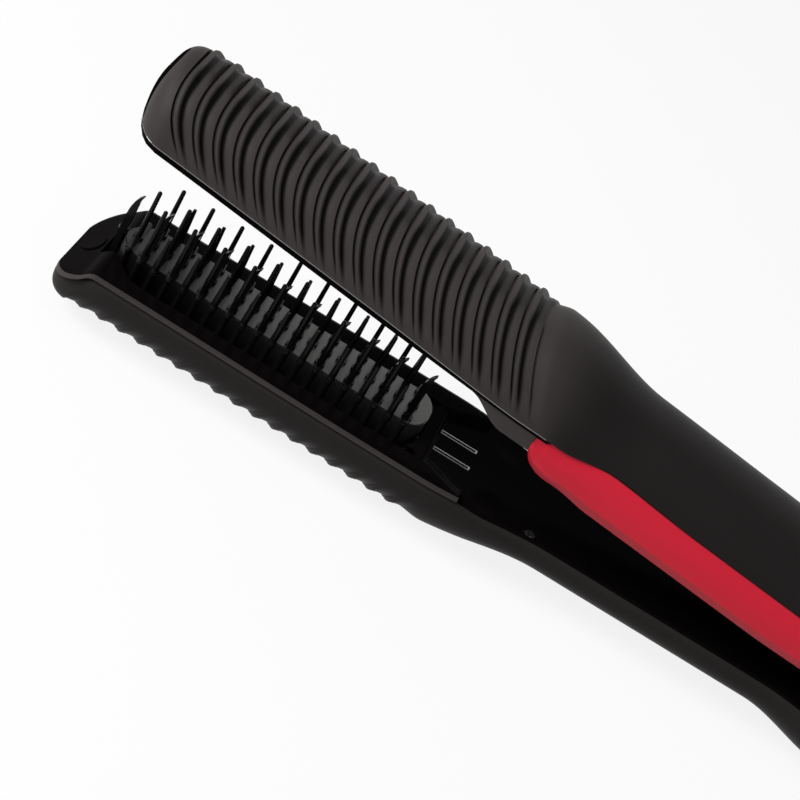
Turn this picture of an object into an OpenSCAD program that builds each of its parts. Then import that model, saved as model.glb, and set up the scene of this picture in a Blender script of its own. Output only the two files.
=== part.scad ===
// Hot air straightener tong, drawn open. Two long arms turn on one pin at the tail.
// The lower arm holds a heated plate with a comb, the upper arm a slotted plate for its teeth.
// Lengths are in mm, x runs from the tip to the tail, z is up, and the object rests on z = 0.

/* [Arms] */
// Distance from the tip of the lower arm's rim to the hinge pin
hinge_x = 330; // [326:0.5:332]
// Angle that the arms stand open when nothing holds them
open_angle = 5.95; // [4:0.05:6.2]
// Half width of the heads at their widest
head_half = 22.2; // [21:0.1:24]
// Half width of the grip behind the heads
grip_half = 20; // [18.5:0.1:21]
// Depth of the lower head below its rim
head_depth = 20.6; // [20.4:0.1:23]
// Height of the upper head above its rim
head_rise = 20.3; // [18:0.1:21]
// Wall thickness of the moulded covers
wall = 2; // [1.6:0.1:2.6]

/* [Ribs] */
// Number of ribs on each head
rib_count = 18; // [12:1:20]
// Distance from one rib to the next
rib_pitch = 6.09; // [5:0.01:6.3]
// Height of the upper head's ribs
rib_rise = 1.3; // [0.6:0.05:2]
// Height of the lower head's ribs
low_rib_rise = 0.85; // [0.5:0.05:1.4]

/* [Plates and comb] */
// Half width of the plates
plate_half = 8.55; // [8:0.05:8.7]
// Height of the lower plate's face above the rim
plate_proud = 4; // [3:0.1:4.4]
// Distance from one comb bar to the next
bar_pitch = 4.57; // [4.4:0.01:4.6]
// Height of the long pins above the rim
pin_top = 20.3; // [16:0.1:20.5]
// Diameter of the long pins at the bar
pin_d = 1.6; // [1.2:0.1:1.8]
// Width of the slots in the upper plate
slot_w = 2.9; // [2.7:0.1:3.1]

/* [Controls] */
// Travel of the push buttons
button_travel = 1.2; // [0.8:0.1:1.4]
// Diameter of the round buttons
button_d = 9.2; // [7:0.1:10]
// Travel of the lock slider
lock_travel = 6; // [4:0.5:7]

/* [Hidden] */
$fn = 48;
hinge_z = 1;
tip_x = -3.4;
ramp_slope = 0.72;
up_tip_x = -3.8;
up_nose = 10;
floor_z = -20.35;
rear_x = 316;
tail_x = 317;
end_x = 346;
gland_x = 348.2;
neck_a = 110;
neck_b = 150;
flare_a = 216;
flare_b = 245;
low_neck = 17.6;
tail_half = 21.4;
tail_r = 21.65;
tail_in = 19.4;
tail_z = 2.35;
mid_x = (tip_x + hinge_x + (gland_x - hinge_x) * cos(open_angle)
  + (tail_z + 6.2 - hinge_z) * sin(open_angle)) / 2;
rim_up = 9.3;
bars = 21;
first_bar = 7;
pit_w = 13.9;
pit_end = 107.5;
pit_floor = -8.6;
upper_face = 5.2;
panel_z = -1.5;
base_z = -1;
base_front = 127.5;
flange_end = 129.3;
pin_r = 2.5;
ear_in = 11.2;
ear_out = 15.2;
air_z = 10.5;
deck_z = 24.1;
buttons_x = [243, 256, 269];
lock_x = 296;
screw_x = 142.4;
screw_y = 14.2;
black = "#1c1c1d";
gloss = "#111112";
red = "#c62a38";
metal = "#b9bcc0";
dark_metal = "#6f7277";
cream = "#d8d2c0";
green = "#1d5a34";

// Blends, rounded ends and outlines

function smooth(t) = let (u = min(1, max(0, t))) u * u * (3 - 2 * u);
function step(x, a, b) = smooth((x - a) / (b - a));
function power(v, p) = (v < 0 ? -1 : 1) * pow(abs(v), p);
function round_in(x, x0, r) = x - x0 >= r ? 0 : r - sqrt(max(0, r * r - pow(r - x + x0, 2)));
function front_stations(x0, r) = [for (q = [0:18:90]) x0 + r * (1 - cos(q))];
function bow(dx, r) = dx >= r ? 1 : sqrt(max(0, 1 - pow(1 - dx / r, 2)));
function mirrored(half) =
  concat([for (p = half) [p[0], -p[1]]], [for (i = [len(half) - 1:-1:0]) half[i]]);

// The open arm is drawn closed and turned about the hinge pin

module place() {
  translate([-mid_x, 0, -floor_z])
  children();
}

module turned() {
  translate([hinge_x, 0, hinge_z])
  rotate([0, open_angle, 0])
  translate([-hinge_x, 0, -hinge_z])
  children();
}

module opened() {
  place()
  turned()
  children();
}

// Rings that run counter-clockwise seen from the tail, joined to one closed solid

module loft(rings) {
  n = len(rings[0]);
  m = len(rings);
  sides = [for (i = [0:m - 2], k = [0:n - 1], h = [0, 1])
    let (a = i * n + k, b = i * n + (k + 1) % n) h == 0 ? [a, b + n, b] : [a, a + n, b + n]];
  first = [for (k = [0:n - 1]) k];
  last = [for (k = [n - 1:-1:0]) (m - 1) * n + k];
  polyhedron([for (ring = rings, p = ring) p], concat([first], sides, [last]), convexity = 8);
}

// One rib from notch to notch: a steep front, a rounded crest, and a fall that is slow at the
// tip of the arm and quick at the rear

rib_steps = [0, 0.14, 0.34, 0.57, 0.81];
tip_levels = [0, 0.78, 1, 0.94, 0.78];
rear_levels = [0, 0.72, 1, 0.6, 0.24];

function rib_stations(first, from) = [for (i = [0:rib_count - 1], k = [0:len(rib_steps) - 1])
  let (x = first + rib_pitch * (i + rib_steps[k]), t = i / (rib_count - 1))
  if (x > from) [x, tip_levels[k] * (1 - t) + rear_levels[k] * t]];
function plain(xs) = [for (x = xs) [x, 1]];

// Sizes of the lower arm at a distance x from the tip

function low_half(x) =
  head_half - 1.3 * step(100 - x, 0, 100)
  - (head_half - low_neck) * step(x, neck_a, neck_b)
  + (tail_half - low_neck) * step(x, flare_a, flare_b);
function low_depth(x) =
  head_depth - 0.0165 * max(0, 105 - x) - 0.5 * step(12 - x, 0, 14)
  - (head_depth - 15) * step(x, 112, 149)
  + 5.9 * step(x, flare_a, flare_b);
function low_face(x) = x < 9 ? -ramp_slope * (9 - x) * step(9 - x, -1.5, 4) : 0;
function low_rim(x) = low_face(x) - 1 - 1.3 * step(x, 112, 128);
function low_lean(x) = 7.5 * step(x, -3.4, 6) * step(130 - x, 0, 26);
function low_nose(x, inset) = (13 - inset) * (1 - bow(x - tip_x - inset, 9 - inset));

function low_ring(st, n, inset, rise) = [for (k = [-2:n + 2])
  let (
    side = k < 0 ? -1 : 1,
    edge = k < 0 ? -k : k > n ? k - n : 0,
    q = 180 * min(n, max(0, k)) / n,
    x = st[0] + (inset > 0 ? 0 : low_lean(st[0]) * pow(1 - sin(q), 1.4)),
    cut = rise * (1 - st[1]) * smooth((sin(q) - 0.1) / 0.55),
    a = low_half(x) - low_nose(st[0], inset) - inset,
    rim = low_rim(x),
    mid = rim - 1.6,
    d = low_depth(x) - round_in(st[0], tip_x + inset, 5) - inset + mid)
  edge == 0 ? [x, -power(cos(q), 0.87) * (a - cut), mid - pow(sin(q), 0.87) * (d - cut)]
  : edge == 1 ? [x, side * (a - 0.25), rim - 0.5]
  : [x, side * (a - 0.95), inset > 0 ? rim + 3 : rim]];

module lower_cover() {
  rear = [112, 114, 116, 119, 123, 127, 131, 135, 140, 146, 152, 182, 212, 219, 223, 227, 231,
    235, 239, 243, 248, rear_x];
  hollow = [-0.9, 0.4, 2, 5, 10, 30, 60, 90, 112, 120, 130, 140, 150, 214, 224, 235, 246,
    rear_x - wall];
  color(black)
  place()
  difference() {
    loft([for (s = concat(plain(front_stations(tip_x, 5.4)), rib_stations(-1.25, 2.4), plain(rear)))
      low_ring(s, 20, 0, low_rib_rise)]);
    loft([for (x = hollow) low_ring([x, 1], 12, wall, 0)]);
    translate([-20, -40, floor_z - 20])
    cube([400, 80, 20]);
    for (s = [-1, 1])
      translate([rear_x - 6, s * 13.2 - 2.7, -14])
      cube([8, 5.4, 16]);
    translate([rear_x - 4, -6.8, -9])
    cube([8, 2.8, 7]);
    for (s = [-1, 1])
      translate([screw_x, s * screw_y, panel_z - 5.4])
      cylinder(h = 6, d = 4);
    turned()
    translate([tail_x - 0.45, -40, -40])
    cube([20, 80, 80]);
  }
}

// Plan outlines of the pit and of the plates, pulled in by t

function pit_front(t) = [[5 + t, 5.6 - t], [9 + 0.8 * t, 5.8 - t], [12 + 0.7 * t, 8.9 - 0.7 * t],
  [15 + 0.5 * t, 12 - 0.8 * t], [17.5, 13.3 - 0.9 * t], [20.5, pit_w - t]];
function pit_outline(t) = mirrored(concat(pit_front(t), [[pit_end - 3, pit_w - t],
  [pit_end - 0.9 - 0.6 * t, pit_w - 0.9 - t], [pit_end - t, pit_w - 3 - t]]));
function plate_outline(t) = mirrored(concat(
  [for (q = [0:15:90]) [8.4 + t + 10 * (1 - cos(q)), (plate_half - t) * pow(sin(q), 0.9)]],
  [for (q = [0:15:75]) [99 + (5 - t) * sin(q), (plate_half - t) * cos(q)]]));

// Inner border of the lower head with the ramp at its nose and the pit of the plate

function frame_half(x) = low_half(x) - low_nose(x, 0) - 0.25;
function frame_ring(x) = let (a = frame_half(x), z = low_face(x))
  [[x, -a + 0.7, z - 1], [x, a - 0.7, z - 1], [x, a, z - 0.55], [x, a - 0.25, z - 0.2],
    [x, a - 0.8, z], [x, -a + 0.8, z], [x, -a + 0.25, z - 0.2], [x, -a, z - 0.55]];

function border_half(x) = pit_w + (frame_half(x) - 1.3 - pit_w) * step(x, pit_end - 1, 124);

module lower_frame() {
  xs = concat(front_stations(tip_x + 0.3, 8), [6.5, 8, 9, 10.5, 14, 30, 60, 90, 100, 108, 112,
    115, 118, 121]);
  color(gloss)
  place()
  difference() {
    union() {
      loft([for (x = xs) frame_ring(x)]);
      translate([0, 0, pit_floor - 1.4])
      linear_extrude(5.4)
      polygon(pit_outline(-1.4));
      intersection() {
        translate([0, 0, -5])
        linear_extrude(4.4)
        polygon(pit_outline(-1.4));
        translate([9, -20, -6])
        cube([pit_end - 9, 40, 6]);
      }
    }
    translate([0, 0, pit_floor])
    linear_extrude(20)
    polygon(pit_outline(0));
    translate([0, 0, panel_z - 0.6])
    linear_extrude(10)
    polygon(mirrored([for (x = [pit_end - 0.6:2.5:131]) [x, border_half(x)]]));
    plug(0.05, -0.7, 4);
  }
}

// Oval plug on the ramp

module plug(grow, low, height) {
  translate([1.6, 0, low_face(1.6)])
  rotate([0, -atan(ramp_slope), 0])
  translate([0, 0, low])
  linear_extrude(height)
  polygon([for (q = [0:10:350]) [(3.4 + grow) * cos(q), (4.3 + grow) * sin(q)]]);
}

module tip_plug() {
  color(gloss)
  place() {
    plug(0, -0.7, 0.9);
    plug(-0.35, 0.2, 0.2);
  }
}

// Inner panel behind the plate, with two slots, its screw holes and two moulded creases

function panel_half(x) =
  x < 124 ? border_half(x) - 0.15 - 1.3 * step(x, 112, 124)
  : low_half(x) - 1.05 - 0.1;

module panel_plan(t) {
  polygon(mirrored([for (x = [pit_end + 0.1, 106, 109, 112, 115, 118, 121, 124, 128, 132, 136,
    140, 144, 148, 152, 180, 212, 218, 224, 230, 236, 242, 248, 254, 284, 312])
    [x, panel_half(x) - t]]));
}

module lower_panel() {
  color(gloss)
  place()
  difference() {
    union() {
      translate([0, 0, panel_z - 0.35])
      linear_extrude(0.35)
      panel_plan(0.3);
      translate([0, 0, panel_z - 0.8])
      linear_extrude(0.45)
      panel_plan(0);
      translate([0, 0, panel_z - 2.2])
      linear_extrude(1.4)
      panel_plan(2.4);
      for (s = [-1, 1])
        translate([screw_x, s * screw_y * 0.8, panel_z - 8])
        cylinder(h = 6.5, r = 2.4);
    }
    for (s = [-1, 1]) {
      translate([109, s * 4.2 - 0.5, panel_z - 0.9])
      cube([11, 1, 4]);
      translate([screw_x, s * screw_y, panel_z - 2])
      cylinder(h = 8, d = 3.9);
      translate([screw_x, s * screw_y, panel_z - 10])
      cylinder(h = 12, d = 2);
      translate([206.7, s * 13.4, panel_z - 0.8])
      cylinder(h = 4, d = 1.4);
      translate([290, s * 12, panel_z - 3])
      cylinder(h = 8, d = 5.2);
    }
    for (s = [-1, 1])
      translate([126, s * 12.5, panel_z - 0.25])
      crease(s);
  }
}

// Shallow moulded crease that ends the soft hollow beside the slots

module crease(s) {
  intersection() {
    difference() {
      cylinder(h = 1, r = 8.9);
      cylinder(h = 1, r = 8.5);
    }
    translate([0, s > 0 ? -4 : -3, 0])
    cube([10, 7, 1]);
  }
}

module lower_screws() {
  color(dark_metal)
  place()
  for (s = [-1, 1]) {
    screw(screw_x, s * screw_y, panel_z - 1.9, 1.85);
    screw(290, s * 12, panel_z - 2.1, 2.5);
  }
}

module screw(x, y, z, r) {
  translate([x, y, z])
  difference() {
    union() {
      cylinder(h = 1.2, r = r);
      translate([0, 0, -3])
      cylinder(h = 3.2, r = 0.9);
    }
    for (q = [0, 90])
      rotate([0, 0, q])
      translate([-1.3, -0.25, 0.6])
      cube([2.6, 0.5, 1]);
  }
}

// Plate of the lower arm and the soft seat under it

module lower_plate() {
  color(metal)
  place()
  difference() {
    union() {
      translate([0, 0, -4.6])
      linear_extrude(plate_proud + 4.3)
      polygon(plate_outline(0));
      translate([0, 0, plate_proud - 0.3])
      linear_extrude(0.3)
      polygon(plate_outline(0.25));
    }
    translate([0, 0, -5])
    linear_extrude(plate_proud + 3.4)
    polygon(plate_outline(1.5));
  }
}

module plate_cushion() {
  color(cream)
  place()
  translate([0, 0, pit_floor])
  linear_extrude(-4.6 - pit_floor)
  difference() {
    polygon(plate_outline(0.4));
    polygon(plate_outline(2.6));
  }
}

// Comb: a bar across the plate at every pitch, posts down its sides, rails and teeth

bar_top = plate_proud + 0.7;

function bar_x(i) = first_bar + bar_pitch * i;
function bar_half(x) = x < 9 ? 2.4 : x < 13 ? 7.3 : 9.5;

module pin(x, y) {
  translate([x, y, bar_top - 0.1])
  cylinder(h = pin_top - 0.62 - bar_top + 0.1, r1 = pin_d / 2, r2 = 0.62);
  translate([x, y, pin_top - 0.62])
  sphere(r = 0.62);
}

module fin(x) {
  translate([x, 0.65, 0])
  rotate([90, 0, 0])
  linear_extrude(1.3)
  polygon([[-1.05, bar_top - 0.2], [-1.08, 9], [-0.85, 11.6], [-0.4, 13.6], [0.25, 15.1],
    [0.95, 16], [1.45, 16.3], [1.5, 16.1], [1.2, 15.4], [1.05, 14.2], [1.02, bar_top - 0.2]]);
}

module guard_tooth(x, s) {
  difference() {
    union() {
      translate([x, s * 9.15, 2.2])
      cylinder(h = 12.8, r1 = 1.15, r2 = 0.5);
      translate([x, s * 9.35, 3])
      sphere(r = 1.1);
    }
    translate([x - 3, s > 0 ? 3.1 : -9.1, 4.2])
    rotate([s * 1.2, 0, 0])
    cube([6, 6, 20]);
    translate([x - 3, s > 0 ? 4 : -plate_half - 0.06, 1])
    cube([6, plate_half - 3.94, 3.6]);
  }
}

module bar(i) {
  x = bar_x(i);
  odd = i % 2 == 0;
  w = bar_half(x);
  translate([x - 1, -w, plate_proud])
  cube([2, 2 * w, 0.7]);
  translate([x, 0, plate_proud])
  cylinder(h = 0.85, d = 3);
  for (s = [-1, 1]) {
    if (odd && i > 1)
      translate([x, s * 6.5, plate_proud])
      cylinder(h = 0.85, d = 3);
    if (x > 9) {
      translate([x, s * (w + 0.05), pit_floor])
      cylinder(h = plate_proud + 0.55 - pit_floor, r = w < 9 ? 0.7 : 0.85);
      translate([x, s * (w + 0.05), plate_proud - 0.1])
      sphere(r = w < 9 ? 0.8 : 0.95);
    }
  }
}

module comb() {
  color(gloss)
  place()
  union() {
    for (i = [0:bars - 1]) {
      x = bar_x(i);
      bar(i);
      if (i % 2 == 0) {
        fin(x);
        if (i > 1 && i < bars - 1)
          for (s = [-1, 1])
            pin(x, s * 6.5);
      } else {
        pin(x, 0);
        if (bar_half(x) > 9)
          for (s = [-1, 1])
            guard_tooth(x, s);
      }
    }
    translate([first_bar - 1, -1.2, pit_floor])
    cube([1.8, 2.4, bar_top - pit_floor]);
    intersection() {
      translate([0, 0, pit_floor])
      linear_extrude(1.6)
      difference() {
        polygon(plate_outline(-2.1));
        polygon(plate_outline(-0.35));
      }
      translate([0, 0, pit_floor - 1])
      linear_extrude(4)
      polygon(pit_outline(0.15));
    }
  }
}

// Ears that carry the lower arm on the hinge pin

module hinge_bracket() {
  color(dark_metal)
  place() {
    for (s = [-1, 1])
      translate([0, s > 0 ? ear_out : -ear_in, 0])
      rotate([90, 0, 0])
      linear_extrude(ear_out - ear_in)
      difference() {
        union() {
          translate([hinge_x, hinge_z])
          circle(r = 6.2);
          polygon([[298, -12.4], [309.4, -12.4], [314.4, -7.5], [hinge_x + 1.5, hinge_z - 5.9],
            [hinge_x - 3, hinge_z + 5.4], [hinge_x - 13, panel_z - 2.2], [298, panel_z - 2.2]]);
        }
        translate([hinge_x, hinge_z])
        circle(r = pin_r + 0.05);
      }
    difference() {
      translate([298, -ear_in - 0.1, -12.4])
      cube([11, 2 * ear_in + 0.2, 2.6]);
      translate([303.5, 0, -14])
      cylinder(h = 6, r = 1.7);
    }
  }
}

// Sizes of the upper arm, drawn closed, at a distance x from the tip

function up_half(x) =
  head_half - 0.2 - 1.1 * step(100 - x, 0, 100)
  - (head_half - 0.2 - grip_half) * step(x, neck_a + 4, neck_b + 2)
  + (tail_half + 0.2 - grip_half) * step(x, 212, 262);
function up_top(x) =
  rim_up + head_rise - 0.0105 * max(0, 113 - x)
  - (head_rise - 15.3) * step(x, 119, 151) - 0.6 * step(x, 151, 200);
function up_mid(x) = rim_up - 2.8 * step(x, 120, 152);
function up_base(x) = rim_up + 1 + 2.4 * step(x, 133, 149) - 0.8 * step(x, 149, 176);
function up_lean(x, s) = (14 - 0.012 * x) * pow(max(0, 1 - s), max(1, 2 - 0.0078 * x))
  * step(x, -3.5, 1.4) * step(134 - x, 0, 24);
function up_deep(x, inset) = up_top(x) - up_mid(x) - inset - round_in(x, up_tip_x + inset, 3);
function up_low(x) = pow(max(0, (up_base(x) + 0.03 - up_mid(x)) / up_deep(x, 0)), 1.1);

function up_ring(st, n, inset, rise) = [for (k = [0:n])
  let (
    q0 = inset > 0 ? 0 : asin(up_low(st[0] + up_lean(st[0], up_low(st[0])))),
    q = q0 + (180 - 2 * q0) * k / n,
    x = st[0] + (inset > 0 ? 0 : up_lean(st[0], sin(q))),
    cut = rise * (1 - st[1]) * smooth((sin(q) - 0.1) / 0.5),
    a = (up_half(x) - inset - cut) * bow(x - up_tip_x - inset, up_nose - inset),
    d = up_deep(x, inset) - cut)
  inset > 0 && (k == 0 || k == n) ? [x, a * (k == 0 ? 1 : -1), up_base(x) - 4]
  : [x, power(cos(q), 0.91) * a, up_mid(x) + pow(sin(q), 0.91) * d]];

module upper_cover() {
  rear = [116.5, 118.8, 121.4, 124, 127, 130, 133, 136, 139, 142, 145, 148, 151, 156, 164, 176, 212, 222,
    232, 242, 252, 262, tail_x];
  nose = [-3.48, -3, -2.4, -1.8, -1.1, -0.4, 0.5];
  hollow = [-1.5, -0.6, 1, 3.2, 6.2, 17, 60, 112, 122, 130, 138, 146, 152, 176, 212, 228, 246, 262,
    330];
  color(black)
  opened()
  difference() {
    loft([for (s = concat(plain(nose), rib_stations(1.4, 1.3),
      [[112.2, 0.5], [114.3, 0.85]], plain(rear)))
      up_ring(s, 22, 0, rib_rise)]);
    loft([for (x = hollow) up_ring([x, 1], 12, wall, 0)]);
    translate([234, 0, deck_z - 6])
    linear_extrude(12)
    deck_plan(7.05, 52);
    translate([lock_x - 4.4, -2.4, deck_z - 6])
    cube([8.8 + lock_travel, 4.8, 12]);
  }
}

// Stadium plan of the button panel

module deck_plan(r, length) {
  translate([r, -r])
  square([length - 2 * r, 2 * r]);
  translate([r, 0])
  circle(r = r);
  translate([length - r, 0])
  circle(r = r);
}

// Inner border of the upper head with the walls that hold its plate

function up_plan(t, x) = up_half(x) * bow(x - up_tip_x, up_nose) - t;

module upper_frame() {
  xs = [-3.48, -2.9, -2, -0.9, 0.9, 3.1, 6.2, 10, 24, 48, 76, 100, 112, 118, 123, flange_end];
  color(gloss)
  opened()
  difference() {
    union() {
      translate([0, 0, rim_up])
      linear_extrude(0.35)
      polygon(mirrored([for (x = xs) [x + (x < 0 ? 0.3 : 0), up_plan(0.3, x)]]));
      translate([0, 0, rim_up + 0.35])
      linear_extrude(0.65)
      polygon(mirrored([for (x = xs) [x, up_plan(0, x)]]));
      translate([0, 0, rim_up + 1])
      linear_extrude(6)
      polygon(pit_outline(-1.4));
    }
    difference() {
      translate([0, 0, rim_up - 1])
      linear_extrude(20)
      polygon(pit_outline(0));
      for (y = [-4.4, 1.3])
        translate([0, y, rim_up + 3.2])
        cube([10.2, 3.1, 12]);
      translate([pit_end - 5, -7, rim_up + 3.2])
      cube([9, 14, 12]);
    }
  }
}

// Slotted plate of the upper arm, pushed back a little so that the teeth swing through

module upper_plate() {
  color(metal)
  opened()
  difference() {
    translate([0, 0, upper_face])
    linear_extrude(rim_up + 3.2 - upper_face)
    polygon(plate_outline(0));
    translate([0, 0, upper_face + 1.8])
    linear_extrude(12)
    polygon(plate_outline(0.9));
    for (i = [0:bars - 1]) {
      x = bar_x(i) - 0.28;
      w = bar_half(bar_x(i)) < 7.6 ? bar_half(bar_x(i)) - 0.6 : 7.6;
      translate([x - slot_w / 2, -w, upper_face - 1])
      cube([slot_w, 2 * w, i < 4 ? 9 : 4]);
      if (i % 2 == 0)
        translate([x - slot_w / 2, -1.1, upper_face - 1])
        cube([slot_w + 0.85, 2.2, 4]);
    }
  }
}

// Red trim along the side of the handle, three soft facets and a rounded wedge at its front

function trim_top(x) =
  rim_up - 0.1 + (up_base(x) - 0.1 - rim_up + 0.1) * step(x, flange_end + 0.3, 133.5);
function trim_low(x) =
  base_z - 0.2 - 1.2 * step(x, 139, 150) + step(x, 204, 230)
  + 8.6 * (1 - sqrt(1 - pow(1 - min(1, max(0, (x - 126.3) / 9.5)), 2)));
function trim_ring(x) = let (
  top = trim_top(x),
  low = trim_low(x),
  h = top - low,
  a = up_half(x),
  f = min(1, h / 11))
  [[x, a - 1.9 * f, low], [x, a - 1.05 * f, low], [x, a - 0.35 * f, top - 0.84 * h],
    [x, a + 0.1, top - 0.62 * h], [x, a + 0.15, top - 0.42 * h], [x, a - 0.2 * f, top - 0.2 * h],
    [x, a - 0.68 * step(x, 130, 150) - 0.05, top], [x, a - 2.6, top],
    [x, a - 2.6, top - 0.5 * h], [x, a - 2.5 * f, top - 0.84 * h]];

module trim() {
  xs = [126.35, 126.7, 127.3, 128.2, 129.4, 131, 133.5, 135.8, 138, 141, 144, 147, 150, 156, 166,
    180, 212, 222, 232, 242, 252, 262, tail_x];
  loft([for (x = xs) trim_ring(x)]);
}

module red_trim_left() {
  color(red)
  opened()
  trim();
}

module red_trim_right() {
  color(red)
  opened()
  mirror([0, 1, 0])
  trim();
}

// Inner shell of the handle, with cradles for the heater and the motor and posts for the board

module base_plan(t) {
  polygon(mirrored(concat(
    [for (q = [0:15:90]) [base_front + t + 8 * (1 - cos(q)),
      (up_half(136) - 2.9 - t) * pow(sin(q), 0.7)]],
    [for (x = [140, 145, 150, 156, 180, 212, 222, 232, 242, 252, 262, rear_x - 2])
      [x, up_half(x) - 2.9 - t]])));
}

module handle_base() {
  color(gloss)
  opened()
  difference() {
    union() {
      translate([0, 0, base_z])
      linear_extrude(rim_up - 0.1 - base_z)
      base_plan(0);
    }
    difference() {
      translate([0, 0, base_z + 2])
      linear_extrude(20)
      base_plan(1.8);
      for (x = [154, 186, 288, 300])
        translate([x, -12, 0])
        cube([2, 24, 5]);
    }
    translate([142, -30, 5.2])
    cube([200, 60, 20]);
    translate([145, 0, air_z])
    rotate([0, 90, 0])
    cylinder(h = 60, r = 8.6);
    translate([280, 0, air_z])
    rotate([0, 90, 0])
    cylinder(h = 50, r = 9.6);
    for (x = [146, 278])
      translate([x, 0, base_z - 1])
      cylinder(h = 1.9, d = 5.4);
  }
}

module handle_screws() {
  color(dark_metal)
  opened()
  for (x = [146, 278])
    translate([x, 0, base_z + 0.1])
    difference() {
      cylinder(h = 0.8, d = 5.2);
      for (q = [0, 90])
        rotate([0, 0, q])
        translate([-1.6, -0.3, -0.1])
        cube([3.2, 0.6, 0.5]);
    }
}

// Button panel, buttons and the slider that holds the arms together

module button_panel() {
  color(gloss)
  opened()
  difference() {
    union() {
      translate([234.05, 0, deck_z - 2.2])
      linear_extrude(1.9)
      deck_plan(7, 51.9);
      translate([234.35, 0, deck_z - 0.3])
      linear_extrude(0.3)
      deck_plan(6.7, 51.3);
    }
    for (x = buttons_x)
      translate([x, 0, deck_z - 3])
      cylinder(h = 8, d = button_d + 0.7);
    for (x = [276.5, 279, 281.5])
      translate([x, 0, deck_z - 3])
      cylinder(h = 8, d = 1.5);
  }
}

module indicator_lenses() {
  color(cream)
  opened()
  for (x = [276.5, 279, 281.5])
    translate([x, 0, deck_z - 2.2])
    cylinder(h = 2.25, d = 1.5);
}

// Push buttons with a flange under the cover, and the marks on their faces

module button(x) {
  opened()
  translate([x, 0, 0])
  difference() {
    union() {
      translate([0, 0, 19.6])
      cylinder(h = 1.2, d = button_d + 2);
      translate([0, 0, 20])
      cylinder(h = deck_z - 19.3, d = button_d);
      translate([0, 0, deck_z + 0.7])
      cylinder(h = 0.4, d1 = button_d, d2 = button_d - 0.8);
    }
    children();
  }
}

module dish(r, depth) {
  translate([0, 0, deck_z + 1.1 - depth + (r * r + depth * depth) / (2 * depth)])
  sphere(r = (r * r + depth * depth) / (2 * depth), $fn = 96);
}

module power_button() {
  color(black)
  button(buttons_x[0])
  dish(button_d / 2 - 0.9, 0.5);
}

module heat_button() {
  color(black)
  button(buttons_x[1])
  for (y = [-1.8, 0, 1.8])
    translate([-2.6, y - 0.3, deck_z + 0.8])
    cube([5.2, 0.6, 1]);
}

module cool_button() {
  color(black)
  button(buttons_x[2])
  for (q = [0:60:300])
    rotate([0, 0, q])
    translate([1.9, 0, deck_z + 0.8])
    cylinder(h = 1, d = 1);
}

module lock_slider() {
  color(black)
  opened()
  translate([lock_x, 0, 0])
  difference() {
    union() {
      translate([-4, -2, 20.4])
      cube([8, 4, 4.4]);
      translate([-4.5, -3.6, 20.4])
      cube([9, 7.2, 0.9]);
      translate([-5.5, 0, deck_z + 0.3])
      linear_extrude(1.2)
      deck_plan(4.2, 11);
    }
    for (x = [-2.4:1.2:2.4])
      translate([x - 0.3, -5, deck_z + 1.1])
      cube([0.6, 10, 1]);
  }
}

// Parts inside the handle

module circuit_board() {
  color(green)
  opened() {
    difference() {
      union() {
        translate([228, -10, 15.2])
        cube([53, 20, 1.6]);
        for (x = [232, 275], s = [-1, 1])
          translate([x, s * 7.5, base_z + 2])
          cylinder(h = 14.3, r = 2);
      }
      for (x = [232, 275], s = [-1, 1])
        translate([x, s * 7.5, 12])
        cylinder(h = 6, r = 0.8);
    }
    for (x = buttons_x) {
      translate([x - 3, -3, 16.8])
      cube([6, 6, 0.9]);
      translate([x, 0, 17.6])
      cylinder(h = 0.7, r = 1.6);
    }
    for (x = [237, 262])
      translate([x, 6.4, 16.8])
      cylinder(h = 3, r = 2.4);
    translate([246, -8.6, 16.8])
    cube([8, 4.6, 1.2]);
  }
}

module heater_core() {
  color(cream)
  opened()
  translate([150, 0, air_z])
  rotate([0, 90, 0]) {
    difference() {
      cylinder(h = 48, r = 8.5);
      translate([0, 0, -1])
      cylinder(h = 50, r = 7.7);
    }
    for (q = [0, 60, 120])
      rotate([0, 0, q])
      translate([-7.8, -0.4, 2])
      cube([15.6, 0.8, 44]);
    for (z = [5:4:45])
      translate([0, 0, z])
      rotate_extrude()
      translate([5.6, 0])
      circle(r = 0.35, $fn = 16);
  }
}

module thermal_fuse() {
  color(metal)
  opened()
  translate([162, 0, air_z + 8.5 + 1.3])
  rotate([0, 90, 0]) {
    cylinder(h = 9, r = 1.3);
    translate([0, 0, -6])
    cylinder(h = 21, r = 0.35);
  }
}

module motor() {
  color(dark_metal)
  opened()
  translate([284, 0, air_z])
  rotate([0, 90, 0])
  difference() {
    union() {
      cylinder(h = 18, r = 9.5);
      cylinder(h = 20.5, r = 5);
      cylinder(h = 29.2, r = 1);
    }
    for (q = [0:45:315])
      rotate([0, 0, q])
      translate([7, 0, -1])
      cylinder(h = 2.5, r = 1.3);
  }
}

module impeller() {
  color(cream)
  opened()
  translate([306.2, 0, air_z])
  rotate([0, 90, 0])
  difference() {
    union() {
      cylinder(h = 6, r = 3.2);
      for (q = [0:40:320])
        rotate([0, 0, q])
        translate([5.7, 0, 3])
        rotate([38, 0, 0])
        cube([6.2, 0.7, 6.4], center = true);
    }
    translate([0, 0, -1])
    cylinder(h = 10, r = 1.05);
  }
}

// Tail barrel with the hinge bosses, its cap with the air inlet, and the cord's inlet

module around_tail() {
  opened()
  translate([0, 0, tail_z])
  rotate([0, 90, 0])
  children();
}

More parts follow.
